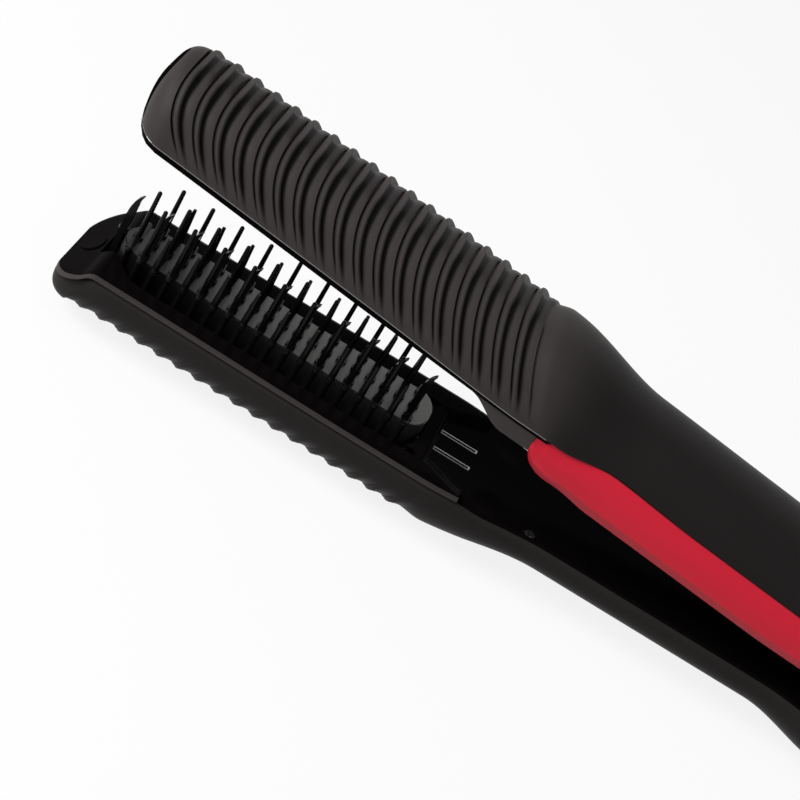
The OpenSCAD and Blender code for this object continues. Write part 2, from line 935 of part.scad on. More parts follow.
module tail_shell() {
  color(black) {
    around_tail()
    difference() {
      union() {
        rotate_extrude($fn = 96)
        polygon([[tail_in, tail_x], [tail_r - 0.5, tail_x], [tail_r, tail_x + 0.5],
          [tail_r, 336], [tail_in, 336]]);
        intersection() {
          rotate_extrude($fn = 96)
          polygon([[17.6, 309], [19.1, 309], [19.1, tail_x], [tail_in + 0.1, tail_x],
            [tail_in + 0.1, tail_x + 2], [17.6, tail_x + 2]]);
          translate([-40, -40, 300])
          cube([28.5, 80, 40]);
        }
        for (s = [-1, 1])
          translate([tail_z - hinge_z, 0, hinge_x])
          rotate([-s * 90, 0, 0])
          translate([0, 0, ear_out + 0.4])
          cylinder(h = tail_in + 0.2 - ear_out - 0.4, r = 5.6);
      }
      translate([tail_z - hinge_z, 0, hinge_x])
      rotate([90, 0, 0])
      cylinder(h = 60, r = pin_r + 0.02, center = true);
    }
  }
}

cap_arc = [for (q = [0:15:90]) [tail_r - 6.5 + 6.5 * cos(q), end_x - 6.5 + 6.5 * sin(q)]];
cap_inner = [for (q = [90:-15:15]) [tail_r - 6.5 + 4.4 * cos(q), end_x - 6.5 + 4.4 * sin(q)]];

module tail_cap() {
  color(black)
  around_tail()
  difference() {
    rotate_extrude($fn = 96)
    polygon(concat([[tail_in + 0.15, 336], [tail_r, 336]], cap_arc, [[5.2, end_x], [5.2, end_x - 2.1]],
      cap_inner, [[tail_in + 0.15, end_x - 7]]));
    for (q = [0:15:345])
      rotate([0, 0, q])
      translate([8.2, -0.8, end_x - 5])
      cube([7.6, 1.6, 8]);
    for (q = [0:10:350])
      rotate([0, 0, q])
      translate([17, -0.7, 337.6])
      cube([8, 1.4, 3.2]);
  }
}

module filter_mesh() {
  color(metal)
  around_tail()
  rotate_extrude($fn = 96)
  polygon([[6.4, end_x - 2.9], [14.4, end_x - 2.9], [18.7, end_x - 7.4], [18.7, 336.2],
    [tail_in, 336.2], [tail_in, end_x - 7.1], [14.8, end_x - 2.3], [6.4, end_x - 2.3]]);
}

module cord_gland() {
  color(black)
  around_tail()
  rotate_extrude()
  polygon([[3.2, end_x - 4.4], [6.2, end_x - 4.4], [6.2, end_x - 2.15], [5.15, end_x - 2.15],
    [5.15, end_x], [7, end_x], [7, end_x + 1.4], [6.2, gland_x], [3.9, gland_x],
    [3.2, gland_x - 0.7]]);
}

module hinge_pin() {
  color(metal)
  place()
  translate([hinge_x, 0, hinge_z])
  rotate([90, 0, 0])
  union() {
    cylinder(h = 41.6, r = pin_r, center = true);
    for (s = [0, 180])
      rotate([s, 0, 0])
      translate([0, 0, 20.8])
      cylinder(h = 0.5, r1 = pin_r, r2 = pin_r - 0.5);
  }
}

module torsion_spring() {
  color(metal)
  opened()
  translate([hinge_x, 0, hinge_z]) {
    for (i = [0:9])
      translate([0, -5.4 + 1.2 * i, 0])
      rotate([90, 0, 0])
      rotate_extrude()
      translate([4.4, 0])
      circle(r = 0.65, $fn = 20);
    translate([-14, 5.4, 4.4])
    rotate([0, 90, 0])
    cylinder(h = 14, r = 0.6, $fn = 20);
    translate([-21.2, -5.4, -7.9])
    rotate([0, 80.6, 0])
    cylinder(h = 21.2, r = 0.6, $fn = 20);
  }
}

lower_cover();
lower_frame();
lower_panel();
tip_plug();
lower_plate();
plate_cushion();
comb();
lower_screws();
hinge_bracket();
upper_cover();
upper_frame();
upper_plate();
red_trim_left();
red_trim_right();
handle_base();
button_panel();
power_button();
heat_button();
cool_button();
indicator_lenses();
lock_slider();
circuit_board();
heater_core();
thermal_fuse();
motor();
impeller();
tail_shell();
tail_cap();
filter_mesh();
cord_gland();
hinge_pin();
torsion_spring();
handle_screws();
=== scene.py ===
"""Looks of a hot air straightener tong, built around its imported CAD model.

Lengths in the helper functions are in millimetres. The lower arm is drawn where it lies. The upper arm
and the handle are drawn closed and turned open about the hinge pin, as the CAD source does.
"""
import math

import bmesh
import bpy
from mathutils import Matrix, Vector


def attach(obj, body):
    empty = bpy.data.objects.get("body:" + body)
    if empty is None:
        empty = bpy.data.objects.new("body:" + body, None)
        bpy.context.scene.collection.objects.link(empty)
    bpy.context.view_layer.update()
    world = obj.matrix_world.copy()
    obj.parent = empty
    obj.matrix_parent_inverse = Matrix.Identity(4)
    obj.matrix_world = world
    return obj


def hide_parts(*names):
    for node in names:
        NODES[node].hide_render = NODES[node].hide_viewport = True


bl_info = {
    "name": "Straightener tong looks",
    "version": (1, 0, 0),
    "blender": (4, 5, 0),
    "location": "View3D > Sidebar > Tong",
    "description": "Finished covers, borders, trims, materials and studio for a hot air straightener tong",
    "category": "Object",
}

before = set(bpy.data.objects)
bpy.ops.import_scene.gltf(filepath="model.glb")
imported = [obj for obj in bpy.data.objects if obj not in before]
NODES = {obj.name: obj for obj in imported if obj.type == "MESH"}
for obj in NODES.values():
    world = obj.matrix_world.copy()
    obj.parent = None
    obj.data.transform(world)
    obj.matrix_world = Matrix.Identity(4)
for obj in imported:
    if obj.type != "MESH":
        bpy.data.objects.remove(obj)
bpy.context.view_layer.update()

# Fixed places of the object, in millimetres

HINGE_X, HINGE_Z = 330.0, 1.0
TIP_X, UP_TIP_X, UP_NOSE = -3.4, -3.8, 10.0
FLOOR_Z = -20.35
REAR_X, TAIL_X = 316.0, 317.0
NECK_A, NECK_B = 110.0, 150.0
FLARE_A, FLARE_B = 216.0, 245.0
LOW_NECK, TAIL_HALF = 17.6, 21.4
RIM_UP = 9.3
PIT_W, PIT_END, PIT_FLOOR = 13.9, 107.5, -8.6
PANEL_Z, BASE_Z = -1.5, -1.0
FLANGE_END = 129.3
DECK_Z = 24.1
LOCK_X, LOCK_TRAVEL = 296.0, 6.0
RAMP_SLOPE = 0.72
UP_RIB_FIRST, LOW_RIB_FIRST = 1.4, -1.25
SEAM = 0.03
PLUG_X, PLUG_RX, PLUG_RY = 1.6, 3.58, 4.48
SLOT_FRONT, SLOT_REAR, SLOT_Y = 109.0, 120.0, 4.2
SCREW_HOLES = ((142.4, 14.2, 1.95, 5.0, 40), (206.7, 13.4, 0.7, 0.8, 24), (290.0, 12.0, 2.6, 5.0, 40))
BOW_FRONT, BOW_REAR, BOW_DEPTH = 106.0, 127.2, 5.5
TRIM_FRONT, TRIM_NOSE = 126.35, 9.5


# Sizes and colours that a user would change

class TongSizes(bpy.types.PropertyGroup):
    open_angle: bpy.props.FloatProperty(
        name="Open angle", description="Angle that the arms stand open",
        default=math.radians(5.95), subtype="ANGLE")
    mid_x: bpy.props.FloatProperty(
        name="Middle", description="Distance from the rim's tip to the middle of the object, in mm",
        default=172.742294)
    head_half: bpy.props.FloatProperty(
        name="Half width of the heads", description="At their widest, in mm", default=22.2)
    grip_half: bpy.props.FloatProperty(
        name="Half width of the grip", description="Behind the heads, in mm", default=20.0)
    head_depth: bpy.props.FloatProperty(
        name="Depth of the lower head", description="Below its rim, in mm", default=20.6)
    head_rise: bpy.props.FloatProperty(
        name="Height of the upper head", description="Above its rim, in mm", default=20.3)
    rib_count: bpy.props.IntProperty(
        name="Ribs", description="Number of ribs on each head", default=18)
    rib_pitch: bpy.props.FloatProperty(
        name="Rib pitch", description="From one rib to the next, in mm", default=6.09)
    rib_rise: bpy.props.FloatProperty(
        name="Height of the upper ribs", description="From notch to crest, in mm", default=1.5)
    low_rib_rise: bpy.props.FloatProperty(
        name="Height of the lower ribs", description="From notch to crest, in mm", default=0.85)
    wall: bpy.props.FloatProperty(
        name="Wall", description="Thickness of the moulded covers, in mm", default=2.0)


class TongLooks(bpy.types.PropertyGroup):
    cover: bpy.props.FloatVectorProperty(
        name="Covers", description="Colour of the satin covers", subtype="COLOR", size=3,
        default=(0.0365, 0.032, 0.031))
    gloss: bpy.props.FloatVectorProperty(
        name="Borders", description="Colour of the polished borders and panels", subtype="COLOR",
        size=3, default=(0.0026, 0.002, 0.002))
    comb: bpy.props.FloatVectorProperty(
        name="Comb", description="Colour of the comb's moulding", subtype="COLOR", size=3,
        default=(0.0045, 0.004, 0.004))
    trim: bpy.props.FloatVectorProperty(
        name="Trims", description="Colour of the trims on the handle", subtype="COLOR", size=3,
        default=(0.6, 0.014, 0.035))
    plate: bpy.props.FloatVectorProperty(
        name="Plates", description="Colour of the heated plates", subtype="COLOR", size=3,
        default=(0.05, 0.0485, 0.047))
    backdrop: bpy.props.FloatVectorProperty(
        name="Backdrop", description="Colour of the floor and the background", subtype="COLOR",
        size=3, default=(1.0, 1.0, 1.0))


def sizes():
    return bpy.context.scene.tong_sizes


def looks():
    return bpy.context.scene.tong_looks


# Blends, rounded ends and the two places that the arms are drawn in

def smooth(t):
    u = min(1.0, max(0.0, t))
    return u * u * (3 - 2 * u)


def step(x, a, b):
    return smooth((x - a) / (b - a))


def power(v, p):
    return math.copysign(abs(v) ** p, v)


def round_in(x, x0, r):
    return 0.0 if x - x0 >= r else r - math.sqrt(max(0.0, r * r - (r - x + x0) ** 2))


def bow(dx, r):
    """Share of the full width at a distance dx behind the tip of a nose that is r long."""
    return 1.0 if dx >= r else math.sqrt(max(0.0, 1 - (1 - dx / r) ** 2))


def through(u, stops):
    """Level at u on a smooth line through the stops (u, level)."""
    for (a, before), (b, after) in zip(stops, stops[1:]):
        if u <= b:
            return before + (after - before) * smooth((u - a) / (b - a))
    return stops[-1][1]


def lies(x, y, z):
    """A point of the lower arm, which lies still."""
    return Vector(((x - sizes().mid_x) / 1000, y / 1000, (z - FLOOR_Z) / 1000))


def opened(x, y, z):
    """A point of the upper arm or handle, drawn closed and turned open."""
    c, s = math.cos(sizes().open_angle), math.sin(sizes().open_angle)
    dx, dz = x - HINGE_X, z - HINGE_Z
    return lies(HINGE_X + dx * c + dz * s, y, HINGE_Z - dx * s + dz * c)


# Forms of the arms at a distance x from the tip

def low_half(x):
    s = sizes()
    return (s.head_half - 1.3 * step(100 - x, 0, 100)
            - (s.head_half - LOW_NECK) * step(x, NECK_A, NECK_B)
            + (TAIL_HALF - LOW_NECK) * step(x, FLARE_A, FLARE_B))


def low_depth(x):
    s = sizes()
    return (s.head_depth - 0.0165 * max(0, 105 - x) - 0.5 * step(12 - x, 0, 14)
            - (s.head_depth - 15) * step(x, 112, 149) + 5.9 * step(x, FLARE_A, FLARE_B))


def low_face(x):
    return -RAMP_SLOPE * (9 - x) * step(9 - x, -1.5, 4) if x < 9 else 0.0


def low_rim(x):
    return low_face(x) - 1 - 1.3 * step(x, 118, 130)


def low_lean(x):
    return 7.5 * step(x, TIP_X, 6) * step(130 - x, 0, 26)


def low_nose(x):
    return 13 * (1 - bow(x - TIP_X, 9))


def up_half(x):
    s = sizes()
    return (s.head_half - 0.2 - 1.1 * step(100 - x, 0, 100)
            - (s.head_half - 0.2 - s.grip_half) * step(x, NECK_A + 4, NECK_B + 2)
            + (TAIL_HALF + 0.2 - s.grip_half) * step(x, 212, 262))


def up_top(x):
    s = sizes()
    return (RIM_UP + s.head_rise - 0.0105 * max(0, 113 - x)
            - (s.head_rise - 15.3) * step(x, 119, 151) - 0.6 * step(x, 151, 200))


def up_mid(x):
    return RIM_UP - 2.8 * step(x, 120, 152)


def up_base(x):
    return RIM_UP + 1 + 2.4 * step(x, 133, 149) - 0.8 * step(x, 149, 176)


def up_seat(x0):
    """Where the lower edge of the leaning station x0 lies along the arm."""
    return x0 + 13 * step(x0, -3.5, 1.4) * step(134 - x0, 0, 24)


def up_lean(x, s):
    return ((14 - 0.012 * x) * max(0.0, 1 - s) ** max(1.0, 2 - 0.0078 * x)
            * step(x, -3.5, 1.4) * step(134 - x, 0, 24))


def up_deep(x):
    return up_top(x) - up_mid(x) - round_in(x, UP_TIP_X, 4.4)


# Levels along one rib, as (share of the pitch, level)

CROWN_FRONT = ((0, 0), (0.14, 0.78), (0.34, 1), (0.57, 0.94), (0.81, 0.78), (1, 0))
CROWN_REAR = ((0, 0), (0.14, 0.72), (0.34, 1), (0.57, 0.6), (0.81, 0.24), (1, 0))
SIDE = ((0, 0.05), (0.06, 0.5), (0.13, 0.92), (0.21, 1), (0.28, 0.88), (0.4, 0.02), (0.46, 0.0),
        (0.6, 0.26), (0.78, 0.46), (0.94, 0.5), (1, 0.05))
SCALE = ((0, 0), (0.16, 0.5), (0.34, 1), (0.5, 0.72), (0.66, 0.3), (0.85, 0.08), (1, 0))


def rib_place(x, first):
    """Number of the rib at x, from 0, and how far along it x lies, from 0 to 1."""
    i = math.floor((x - first) / sizes().rib_pitch)
    return i, (x - first) / sizes().rib_pitch - i


def up_level(x, s):
    """Level of the upper ribs at a station x and at a height s, 1 at the crown: 1 is the envelope."""
    i, u = rib_place(x, UP_RIB_FIRST)
    count = sizes().rib_count
    if i < 0:
        return 1 - 0.4 * step(x, -3.5, 1.4)
    end = UP_RIB_FIRST + count * sizes().rib_pitch
    if i >= count:
        return step(x, end - 1, end + 5)
    t = i / (count - 1)
    crown = through(u, CROWN_FRONT) * (1 - t) + through(u, CROWN_REAR) * t
    side = smooth((0.999 - s) / 0.06)
    return crown * (1 - side) + through(u, SIDE) * side


def up_painted_shade(x, s):
    """Share of painted shade on the upper cover at a place between two ribs, from 0 to 1: in each notch and
    on each rib's rear flank, fading toward the lower edge.
    """
    i, u = rib_place(x, UP_RIB_FIRST)
    if i < 0 or i >= sizes().rib_count:
        return 0.0
    notch = max(1 - u / 0.1, (u - 0.95) / 0.05, 0.0)
    flank = smooth((u - 0.27) / 0.09) * smooth((0.52 + 0.15 * s * s - u) / 0.14)
    return max(notch, flank) * smooth((s - 0.05) / 0.3)


def low_level(x):
    i, u = rib_place(x, LOW_RIB_FIRST)
    count = sizes().rib_count
    if i < 0:
        return 1.0
    end = LOW_RIB_FIRST + count * sizes().rib_pitch
    if i >= count:
        return step(x, end - 1, end + 7)
    return through(u, SCALE)


# Mesh tools

def sheet(across, along, place, painted_shade=None):
    """A grid whose corner (i, k) goes to place(i, k), with an optional share of painted shade for its
    finish.
    """
    bm = bmesh.new()
    bmesh.ops.create_grid(bm, x_segments=across, y_segments=along, size=1.0)
    # Painted shade: each corner's share of a darker colour, which the finish mixes in
    layer = bm.verts.layers.float.new("painted_shade")
    for vert in bm.verts:
        i, k = round((vert.co.x + 1) / 2 * across), round((vert.co.y + 1) / 2 * along)
        vert.co = place(i, k)
        vert[layer] = painted_shade(i, k) if painted_shade else 0.0
    return bm


def face_out(bm, test=None):
    """Turns an open sheet's faces outward: away from its middle, or as the test says."""
    bmesh.ops.recalc_face_normals(bm, faces=bm.faces)
    bm.faces.ensure_lookup_table()
    bm.normal_update()
    middle = sum((v.co for v in bm.verts), Vector()) / len(bm.verts)
    right = sum(1 if (test(f) if test else f.normal.dot(f.calc_center_median() - middle) > 0) else -1
                for f in bm.faces)
    if right < 0:
        bmesh.ops.reverse_faces(bm, faces=bm.faces)


def close_and_face_out(bm):
    bmesh.ops.remove_doubles(bm, verts=bm.verts, dist=2e-6)
    bmesh.ops.holes_fill(bm, edges=[e for e in bm.edges if e.is_boundary], sides=0)
    bmesh.ops.recalc_face_normals(bm, faces=bm.faces)


def fitted(piece, name, material, body, nodes=()):
    """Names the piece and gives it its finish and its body."""
    piece.name = name
    piece.data.name = name
    piece.data.materials.append(bpy.data.materials[material])
    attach(piece, body)
    if nodes:
        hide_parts(*nodes)


def finished(name, bm, material, body, nodes=(), angle=40):
    """Makes the piece's object, with smooth faces and sharp edges over the angle."""
    mesh = bpy.data.meshes.new(name)
    bm.to_mesh(mesh)
    bm.free()
    for polygon in mesh.polygons:
        polygon.use_smooth = True
    mesh.set_sharp_from_angle(angle=math.radians(angle))
    piece = bpy.data.objects.new(name, mesh)
    bpy.context.scene.collection.objects.link(piece)
    fitted(piece, name, material, body, nodes)
    return piece


def add_modifier(piece, name, kind, **values):
    modifier = piece.modifiers.new(name, kind)
    for key, value in values.items():
        setattr(modifier, key, value)
    return modifier


def apply_modifiers(piece, angle=40):
    """Bakes the modifiers into the mesh, so that the piece is left with plain faces."""
    graph = bpy.context.evaluated_depsgraph_get()
    baked = bpy.data.meshes.new_from_object(piece.evaluated_get(graph))
    piece.modifiers.clear()
    piece.data = baked
    for polygon in baked.polygons:
        polygon.use_smooth = True
    baked.set_sharp_from_angle(angle=math.radians(angle))


def spread(stops):
    """Numbers from stop to stop: each entry is (start, end, steps)."""
    found = []
    for start, end, steps in stops:
        found += [start + (end - start) * i / steps for i in range(steps)]
    return found + [stops[-1][1]]


def solid(outline, low, high, place):
    """A closed prism over an outline of (x, y), for cutting or joining."""
    bm = bmesh.new()
    rings = [[bm.verts.new(place(x, y, z)) for x, y in outline] for z in (low, high)]
    count = len(outline)
    for k in range(count):
        bm.faces.new((rings[0][k], rings[0][(k + 1) % count], rings[1][(k + 1) % count], rings[1][k]))
    bm.faces.new(rings[0])
    bm.faces.new(rings[1])
    bmesh.ops.recalc_face_normals(bm, faces=bm.faces)
    mesh = bpy.data.meshes.new("tool")
    bm.to_mesh(mesh)
    bm.free()
    tool = bpy.data.objects.new("tool", mesh)
    bpy.context.scene.collection.objects.link(tool)
    return tool


def shaped(piece, steps):
    """Joins or cuts the piece with each tool in turn, and takes the tools away."""
    for number, (kind, tool) in enumerate(steps):
        add_modifier(piece, "Shape %d" % number, "BOOLEAN", operation=kind, object=tool, solver="EXACT")
    apply_modifiers(piece)
    for kind, tool in steps:
        bpy.data.objects.remove(tool)


def mirrored(half):
    return [(x, -y) for x, y in half] + [(x, y) for x, y in reversed(half)]


def oval(x, y, rx, ry, steps=48):
    turns = [2 * math.pi * i / steps for i in range(steps)]
    return [(x + rx * math.cos(q), y + ry * math.sin(q)) for q in turns]


def box(x0, x1, y0, y1):
    return [(x0, y0), (x1, y0), (x1, y1), (x0, y1)]


def stadium(x, length, r):
    turns = [math.pi * i / 24 for i in range(25)]
    return ([(x + length - r + r * math.sin(q), -r * math.cos(q)) for q in turns]
            + [(x + r - r * math.sin(q), r * math.cos(q)) for q in turns])


def pit_outline(t):
    front = [(5 + t, 5.6 - t), (9 + 0.8 * t, 5.8 - t), (12 + 0.7 * t, 8.9 - 0.7 * t),
             (15 + 0.5 * t, 12 - 0.8 * t), (17.5, 13.3 - 0.9 * t), (20.5, PIT_W - t)]
    rear = [(PIT_END - 3, PIT_W - t), (PIT_END - 0.9 - 0.6 * t, PIT_W - 0.9 - t),
            (PIT_END - t, PIT_W - 3 - t)]
    return mirrored(front + rear)


def frame_half(x):
    return low_half(x) - low_nose(x) - 0.25


def border_half(x):
    return PIT_W + (frame_half(x) - 1.3 - PIT_W) * step(x, PIT_END - 1, 124)


def panel_half(x):
    return border_half(x) - 0.12 if x < 121 else low_half(x) - 1.15


# Shares of the pitch at which a rib is drawn

MARKS = (0, 0.04, 0.08, 0.12, 0.17, 0.22, 0.27, 0.32, 0.37, 0.42, 0.48, 0.55, 0.64, 0.74, 0.84, 0.92,
         0.96)


def rib_stations(first, start):
    s = sizes()
    ribs = [first + s.rib_pitch * (i + m) for i in range(s.rib_count) for m in MARKS]
    return [x for x in ribs if x > start]


# Materials

def node_of(tree, kind, place, **values):
    node = tree.nodes.new(kind)
    node.location = place
    for key, value in values.items():
        setattr(node, key, value)
    return node


def effect_group(name, inputs, outputs):
    """An empty shader group with named sockets, and its two ends."""
    tree = bpy.data.node_groups.new(name, "ShaderNodeTree")
    for label, kind, default in inputs:
        socket = tree.interface.new_socket(name=label, in_out="INPUT", socket_type=kind)
        socket.default_value = default
    for label, kind in outputs:
        tree.interface.new_socket(name=label, in_out="OUTPUT", socket_type=kind)
    return tree, node_of(tree, "NodeGroupInput", (-900, 0)), node_of(tree, "NodeGroupOutput", (600, 0))


def build_moulded_grain():
    """Fine spark-eroded texture of moulded plastic: a height, and a slow change of roughness."""
    tree, start, end = effect_group(
        "Moulded grain",
        [("Scale", "NodeSocketFloat", 2600.0), ("Roughness", "NodeSocketFloat", 0.5),
         ("Variation", "NodeSocketFloat", 0.05)],
        [("Height", "NodeSocketFloat"), ("Roughness", "NodeSocketFloat")])
    place = node_of(tree, "ShaderNodeTexCoord", (-900, 300))
    fine = node_of(tree, "ShaderNodeTexNoise", (-600, 300))
    fine.inputs["Detail"].default_value = 3.0
    fine.inputs["Roughness"].default_value = 0.6
    slow = node_of(tree, "ShaderNodeTexNoise", (-600, 0))
    slow.inputs["Scale"].default_value = 38.0
    slow.inputs["Detail"].default_value = 4.0
    centred = node_of(tree, "ShaderNodeMath", (-300, 0), operation="SUBTRACT")
    centred.inputs[1].default_value = 0.5
    amount = node_of(tree, "ShaderNodeMath", (-100, 0), operation="MULTIPLY")
    total = node_of(tree, "ShaderNodeMath", (100, 0), operation="ADD")
    link = tree.links.new
    link(place.outputs["Object"], fine.inputs["Vector"])
    link(place.outputs["Object"], slow.inputs["Vector"])
    link(start.outputs["Scale"], fine.inputs["Scale"])
    link(slow.outputs["Fac"], centred.inputs[0])
    link(centred.outputs[0], amount.inputs[0])
    link(start.outputs["Variation"], amount.inputs[1])
    link(amount.outputs[0], total.inputs[0])
    link(start.outputs["Roughness"], total.inputs[1])
    link(fine.outputs["Fac"], end.inputs["Height"])
    link(total.outputs[0], end.inputs["Roughness"])


def build_rubbed_edge():
    """Edges that handling has rubbed: a mask from the pointiness of the surface, broken by noise."""
    tree, start, end = effect_group(
        "Rubbed edge",
        [("Base", "NodeSocketColor", (0.01, 0.01, 0.01, 1)),
         ("Rubbed", "NodeSocketColor", (0.03, 0.03, 0.03, 1)), ("Amount", "NodeSocketFloat", 0.5)],
        [("Color", "NodeSocketColor")])
    shape = node_of(tree, "ShaderNodeNewGeometry", (-900, 300))
    place = node_of(tree, "ShaderNodeTexCoord", (-900, 0))
    noise = node_of(tree, "ShaderNodeTexNoise", (-650, 0))
    noise.inputs["Scale"].default_value = 240.0
    noise.inputs["Detail"].default_value = 5.0
    edge = node_of(tree, "ShaderNodeMapRange", (-650, 300))
    edge.inputs["From Min"].default_value = 0.505
    edge.inputs["From Max"].default_value = 0.58
    broken = node_of(tree, "ShaderNodeMath", (-350, 200), operation="MULTIPLY")
    strength = node_of(tree, "ShaderNodeMath", (-100, 200), operation="MULTIPLY")
    mix = node_of(tree, "ShaderNodeMix", (200, 100), data_type="RGBA")
    link = tree.links.new
    link(shape.outputs["Pointiness"], edge.inputs["Value"])
    link(place.outputs["Object"], noise.inputs["Vector"])
    link(edge.outputs["Result"], broken.inputs[0])
    link(noise.outputs["Fac"], broken.inputs[1])
    link(broken.outputs[0], strength.inputs[0])
    link(start.outputs["Amount"], strength.inputs[1])
    link(strength.outputs[0], mix.inputs["Factor"])
    link(start.outputs["Base"], mix.inputs["A"])
    link(start.outputs["Rubbed"], mix.inputs["B"])
    link(mix.outputs["Result"], end.inputs["Color"])


def tinted(colour, factor):
    return tuple(min(1.0, c * factor + 0.002) for c in colour) + (1.0,)


def plastic(name, colour, roughness, grain_scale, grain_depth, variation=0.05, rubbed=3.0, wear=0.5,
            coat=0.0, specular=0.5, metallic=0.0, painted_shade=0.0):
    """A moulded or painted finish: grain in bump and roughness, rubbed edges, and an optional painted
    shade, a darker colour mixed in by the mesh's shade attribute.
    """
    material = bpy.data.materials.new(name)
    material.use_nodes = True
    tree = material.node_tree
    shader = tree.nodes["Principled BSDF"]
    shader.inputs["IOR"].default_value = 1.5
    shader.inputs["Specular IOR Level"].default_value = specular
    shader.inputs["Coat Weight"].default_value = coat
    shader.inputs["Metallic"].default_value = metallic
    grain = node_of(tree, "ShaderNodeGroup", (-700, 0), node_tree=bpy.data.node_groups["Moulded grain"])
    grain.inputs["Scale"].default_value = grain_scale
    grain.inputs["Roughness"].default_value = roughness
    grain.inputs["Variation"].default_value = variation
    edges = node_of(tree, "ShaderNodeGroup", (-700, 300), node_tree=bpy.data.node_groups["Rubbed edge"])
    edges.inputs["Base"].default_value = tuple(colour) + (1.0,)
    edges.inputs["Rubbed"].default_value = tinted(colour, rubbed)
    edges.inputs["Amount"].default_value = wear
    bump = node_of(tree, "ShaderNodeBump", (-300, -200))
    bump.inputs["Strength"].default_value = 1.0
    bump.inputs["Distance"].default_value = grain_depth
    link = tree.links.new
    colour_out = edges.outputs["Color"]
    # Painted shade: where the mesh's attribute says, the colour is mixed toward a dark one in place of
    # shade
    if painted_shade:
        shade_share = node_of(tree, "ShaderNodeAttribute", (-700, 600), attribute_name="painted_shade")
        shade = node_of(tree, "ShaderNodeMix", (-450, 450), data_type="RGBA")
        shade.inputs["B"].default_value = (painted_shade, painted_shade, painted_shade, 1)
        link(shade_share.outputs["Fac"], shade.inputs["Factor"])
        link(colour_out, shade.inputs["A"])
        colour_out = shade.outputs["Result"]
    link(colour_out, shader.inputs["Base Color"])
    link(grain.outputs["Roughness"], shader.inputs["Roughness"])
    link(grain.outputs["Height"], bump.inputs["Height"])
    link(bump.outputs["Normal"], shader.inputs["Normal"])
    return material


def shade_front(material, node):
    """Painted shade on the front of the heated plates: their colour darkens toward the tip."""
    tree = material.node_tree
    start = min(corner[0] for corner in node.bound_box)
    place = node_of(tree, "ShaderNodeTexCoord", (-1000, 600))
    split = node_of(tree, "ShaderNodeSeparateXYZ", (-800, 600))
    along = node_of(tree, "ShaderNodeMapRange", (-600, 600))
    along.inputs["From Min"].default_value = start + 0.005
    along.inputs["From Max"].default_value = start + 0.055
    mix = node_of(tree, "ShaderNodeMix", (-400, 500), data_type="RGBA")
    # Colour of the painted shade at the front
    mix.inputs["A"].default_value = (0.006, 0.0055, 0.0055, 1)
    shader = tree.nodes["Principled BSDF"]
    tree.links.new(place.outputs["Object"], split.inputs[0])
    tree.links.new(split.outputs["X"], along.inputs["Value"])
    tree.links.new(along.outputs["Result"], mix.inputs["Factor"])
    tree.links.new(shader.inputs["Base Color"].links[0].from_socket, mix.inputs["B"])
    tree.links.new(mix.outputs["Result"], shader.inputs["Base Color"])


# The finish of each CAD node

FINISHES = {
    "lower_cover": "Satin cover", "upper_cover": "Satin cover", "tail_shell": "Satin cover",
    "tail_cap": "Satin cover", "lower_frame": "Polished black", "lower_panel": "Polished black",
    "tip_plug": "Polished black", "upper_frame": "Polished black", "handle_base": "Polished black",
    "button_panel": "Polished black", "comb": "Comb black", "lower_plate": "Coated plate",
    "upper_plate": "Coated plate", "plate_cushion": "Silicone", "lower_screws": "Dark steel",
    "handle_screws": "Dark steel", "hinge_bracket": "Dark steel", "hinge_pin": "Bare steel",
    "torsion_spring": "Bare steel", "thermal_fuse": "Bare steel", "motor": "Bare steel",
    "filter_mesh": "Bare steel", "red_trim_left": "Red trim", "red_trim_right": "Red trim",
    "power_button": "Button black", "heat_button": "Button black", "cool_button": "Button black",
    "lock_slider": "Button black", "indicator_lenses": "Light guide",
    "circuit_board": "Board lacquer", "heater_core": "Mica", "impeller": "Nylon",
    "cord_gland": "Soft rubber",
}


